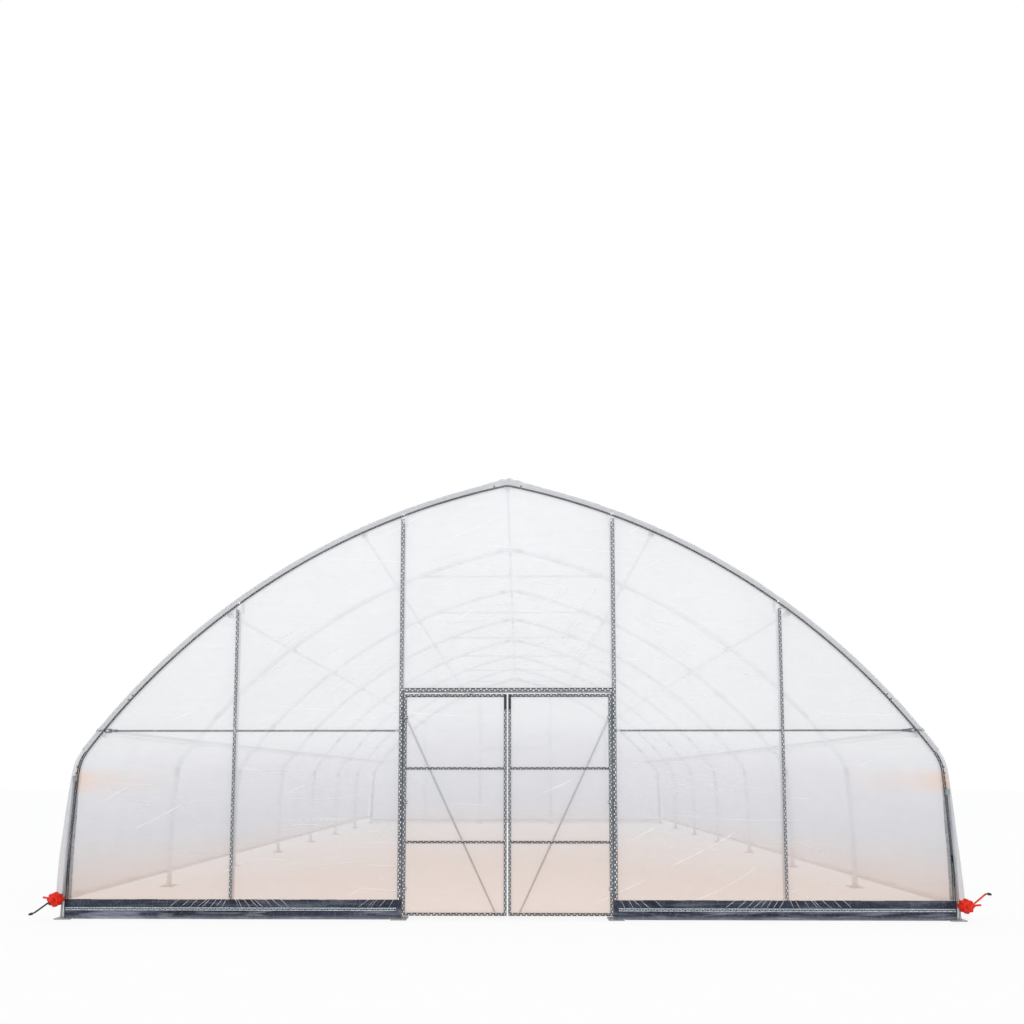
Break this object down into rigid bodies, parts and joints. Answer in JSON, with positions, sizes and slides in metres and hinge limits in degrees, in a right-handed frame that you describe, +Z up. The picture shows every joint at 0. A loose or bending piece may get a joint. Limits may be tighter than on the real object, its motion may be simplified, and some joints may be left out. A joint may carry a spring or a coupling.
{
  "type": "polytunnel greenhouse",
  "caption": "Walk-in polytunnel greenhouse, 9.2 m wide and 14 m long, with curved hoops, translucent film, roll-up sides with hand winches and a double door.",
  "frame": {"origin": "on the ground under the middle of the tunnel", "axes": "+Z up, the front end with the door faces -Y, +X to the right seen from the front"},
  "size_m": [9.6882, 14.3273, 4.6466],
  "materials": {
    "galvanised_steel": "weathered galvanised tube",
    "clamp_channel": "mill finish clamping channel with plated spring wire",
    "film": "hazy translucent polyethylene film, creased",
    "dark_skirt": "blue-black ground skirt, dusty",
    "winch_red": "red paint, weathered",
    "black_metal": "black paint"
  },
  "bodies": {
    "tunnel": {"front_hoop": "galvanised_steel", "inner_hoop_1": "galvanised_steel", "inner_hoop_2": "galvanised_steel", "inner_hoop_3": "galvanised_steel", "inner_hoop_4": "galvanised_steel", "inner_hoop_5": "galvanised_steel", "inner_hoop_6": "galvanised_steel", "rear_hoop": "galvanised_steel", "hoop_feet": "galvanised_steel", "post_feet": "galvanised_steel", "ridge_purlin": "galvanised_steel", "upper_purlins": "galvanised_steel", "lower_purlins": "galvanised_steel", "shoulder_rails": "galvanised_steel", "collar_ties": "galvanised_steel", "left_door_post": "galvanised_steel", "right_door_post": "galvanised_steel", "door_header": "galvanised_steel", "mid_posts": "galvanised_steel", "front_girts": "galvanised_steel", "front_base_rails": "galvanised_steel", "front_channels": "clamp_channel", "front_skirts": "dark_skirt", "front_left_film": "film", "front_right_film": "film", "over_door_film": "film", "rear_posts": "galvanised_steel", "rear_rails": "galvanised_steel", "rear_film": "film", "rear_skirt": "film", "roof_film": "film", "left_curtain": "film", "right_curtain": "film", "roll_pipes": "galvanised_steel", "left_guide_rod": "galvanised_steel", "right_guide_rod": "galvanised_steel", "left_winch": "winch_red", "right_winch": "winch_red", "door_hinges": "galvanised_steel"},
    "left_leaf": {"left_leaf_frame": "galvanised_steel", "left_leaf_film": "film"},
    "right_leaf": {"right_leaf_frame": "galvanised_steel", "right_leaf_film": "film"},
    "left_handle": {"left_crank": "black_metal"},
    "right_handle": {"right_crank": "winch_red"}
  },
  "joints": [
    {"name": "left_leaf_swing", "type": "hinge", "parent": "tunnel", "child": "left_leaf", "pos_m": [-1.0925, -7.0476, 0.3], "axis": [0, 0, -1], "range_deg": [0, 165]},
    {"name": "right_leaf_swing", "type": "hinge", "parent": "tunnel", "child": "right_leaf", "pos_m": [1.0925, -7.0476, 0.3], "axis": [0, 0, 1], "range_deg": [0, 165]},
    {"name": "left_crank_turn", "type": "hinge", "parent": "tunnel", "child": "left_handle", "pos_m": [-4.6556, -7.1373, 0.21], "axis": [0, 1, 0], "range_deg": [0, 250]},
    {"name": "right_crank_turn", "type": "hinge", "parent": "tunnel", "child": "right_handle", "pos_m": [4.6556, -7.1373, 0.16], "axis": [0, 1, 0], "range_deg": [-170, 68]}
  ]
}
